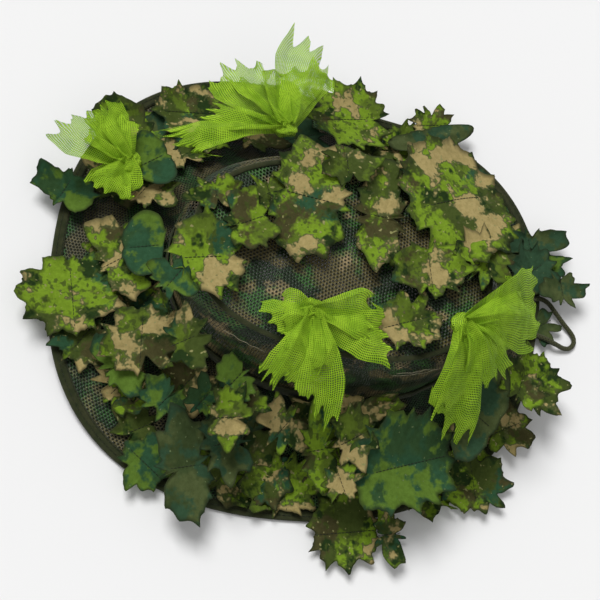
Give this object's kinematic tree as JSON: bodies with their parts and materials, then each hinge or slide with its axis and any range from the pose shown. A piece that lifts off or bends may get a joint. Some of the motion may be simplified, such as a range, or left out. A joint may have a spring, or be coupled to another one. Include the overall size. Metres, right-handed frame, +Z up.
{
  "type": "ghillie bush hat",
  "caption": "Wide-brimmed mesh bush hat covered with sewn-on leaf-cut camouflage cloth and sheer mesh bows, with a rear drawcord and sprung cord lock.",
  "frame": {"origin": "bottom centre of the hat's own box, on the surface that the brim lies on, measured without the drawcord and its lock", "axes": "+X towards the back of the hat, where the drawcord comes out; -X to the front; +Z up through the crown"},
  "size_m": [0.4204, 0.3684, 0.1268],
  "materials": {
    "camo_green": "matte printed cloth, lime and olive camouflage",
    "camo_dark": "matte printed cloth, dark olive and brown camouflage",
    "camo_tan": "matte printed cloth, green camouflage with tan patches",
    "plain_olive": "matte plain olive cloth",
    "plain_teal": "matte dark teal and green cloth",
    "sheer_green": "sheer open-weave mesh, bright green",
    "crown_mesh": "glossy honeycomb mesh, dark green and brown camouflage",
    "brim_mesh": "dark green and brown open mesh",
    "dark_tape": "dark matte woven tape",
    "cord": "dark olive braided cord",
    "black_plastic": "matte black moulded plastic",
    "dark_metal": "dark plated steel"
  },
  "bodies": {
    "hat": {"brim": "brim_mesh", "brim_binding": "dark_tape", "cord_eyelet_left": "dark_metal", "cord_eyelet_right": "dark_metal", "crown_side_band": "crown_mesh", "crown_top_panel": "crown_mesh", "crown_top_seam_tape": "dark_tape", "drawcord": "cord", "drawcord_channel": "dark_tape", "leaf_back_camo": "camo_tan", "leaf_back_curled": "plain_olive", "leaf_back_dark": "plain_olive", "leaf_back_sheer": "plain_olive", "leaf_back_spiky": "camo_dark", "leaf_back_teal": "camo_dark", "leaf_dark_teal_front": "plain_teal", "leaf_edge_bright": "camo_green", "leaf_edge_tan": "camo_tan", "leaf_far_bright": "camo_green", "leaf_far_brown": "camo_dark", "leaf_far_camo": "camo_green", "leaf_far_folded": "plain_olive", "leaf_front_camo": "camo_tan", "leaf_front_olive": "camo_dark", "leaf_front_outer": "camo_green", "leaf_front_round_teal": "plain_teal", "leaf_front_upright_olive": "camo_dark", "leaf_front_upright_teal": "plain_teal", "leaf_front_wall_tan": "camo_tan", "leaf_near_big_teal": "plain_teal", "leaf_near_camo": "camo_tan", "leaf_near_fine": "camo_green", "leaf_near_long_olive": "plain_olive", "leaf_near_narrow_camo": "camo_tan", "leaf_near_olive_teal": "plain_olive", "leaf_near_plain": "plain_olive", "leaf_near_small_tan": "camo_tan", "leaf_near_small_teal": "plain_teal", "leaf_near_spiky": "plain_teal", "leaf_near_teal": "plain_teal", "leaf_near_wall_tan": "camo_tan", "leaf_near_wall_teal": "plain_teal", "leaf_slim_front": "plain_teal", "leaf_top_back_big": "camo_tan", "leaf_top_back_lime": "camo_green", "leaf_top_back_low": "camo_tan", "leaf_top_front_big": "camo_green", "leaf_top_front_lime": "camo_green", "leaf_top_front_pair": "camo_tan", "leaf_top_lime_pair": "camo_green", "leaf_top_tan": "camo_tan", "leaf_under_cord": "plain_olive", "mesh_bow_back": "sheer_green", "mesh_bow_far": "sheer_green", "mesh_bow_front": "sheer_green", "mesh_bow_near": "sheer_green", "sweatband": "dark_tape"},
    "cord_lock": {"cord_lock_body": "black_plastic", "cord_lock_spring": "dark_metal"},
    "lock_button": {"cord_lock_plunger": "black_plastic"}
  },
  "joints": [
    {"name": "cord_lock_slide", "type": "slide", "parent": "hat", "child": "cord_lock", "axis": [0.809, 0, -0.5878], "range_m": [0, 0.017]},
    {"name": "lock_button_press", "type": "slide", "parent": "cord_lock", "child": "lock_button", "axis": [0, 1, 0], "range_m": [0, 0.003], "stiffness_N_per_m": 400, "deforming": ["cord_lock_spring"]}
  ]
}
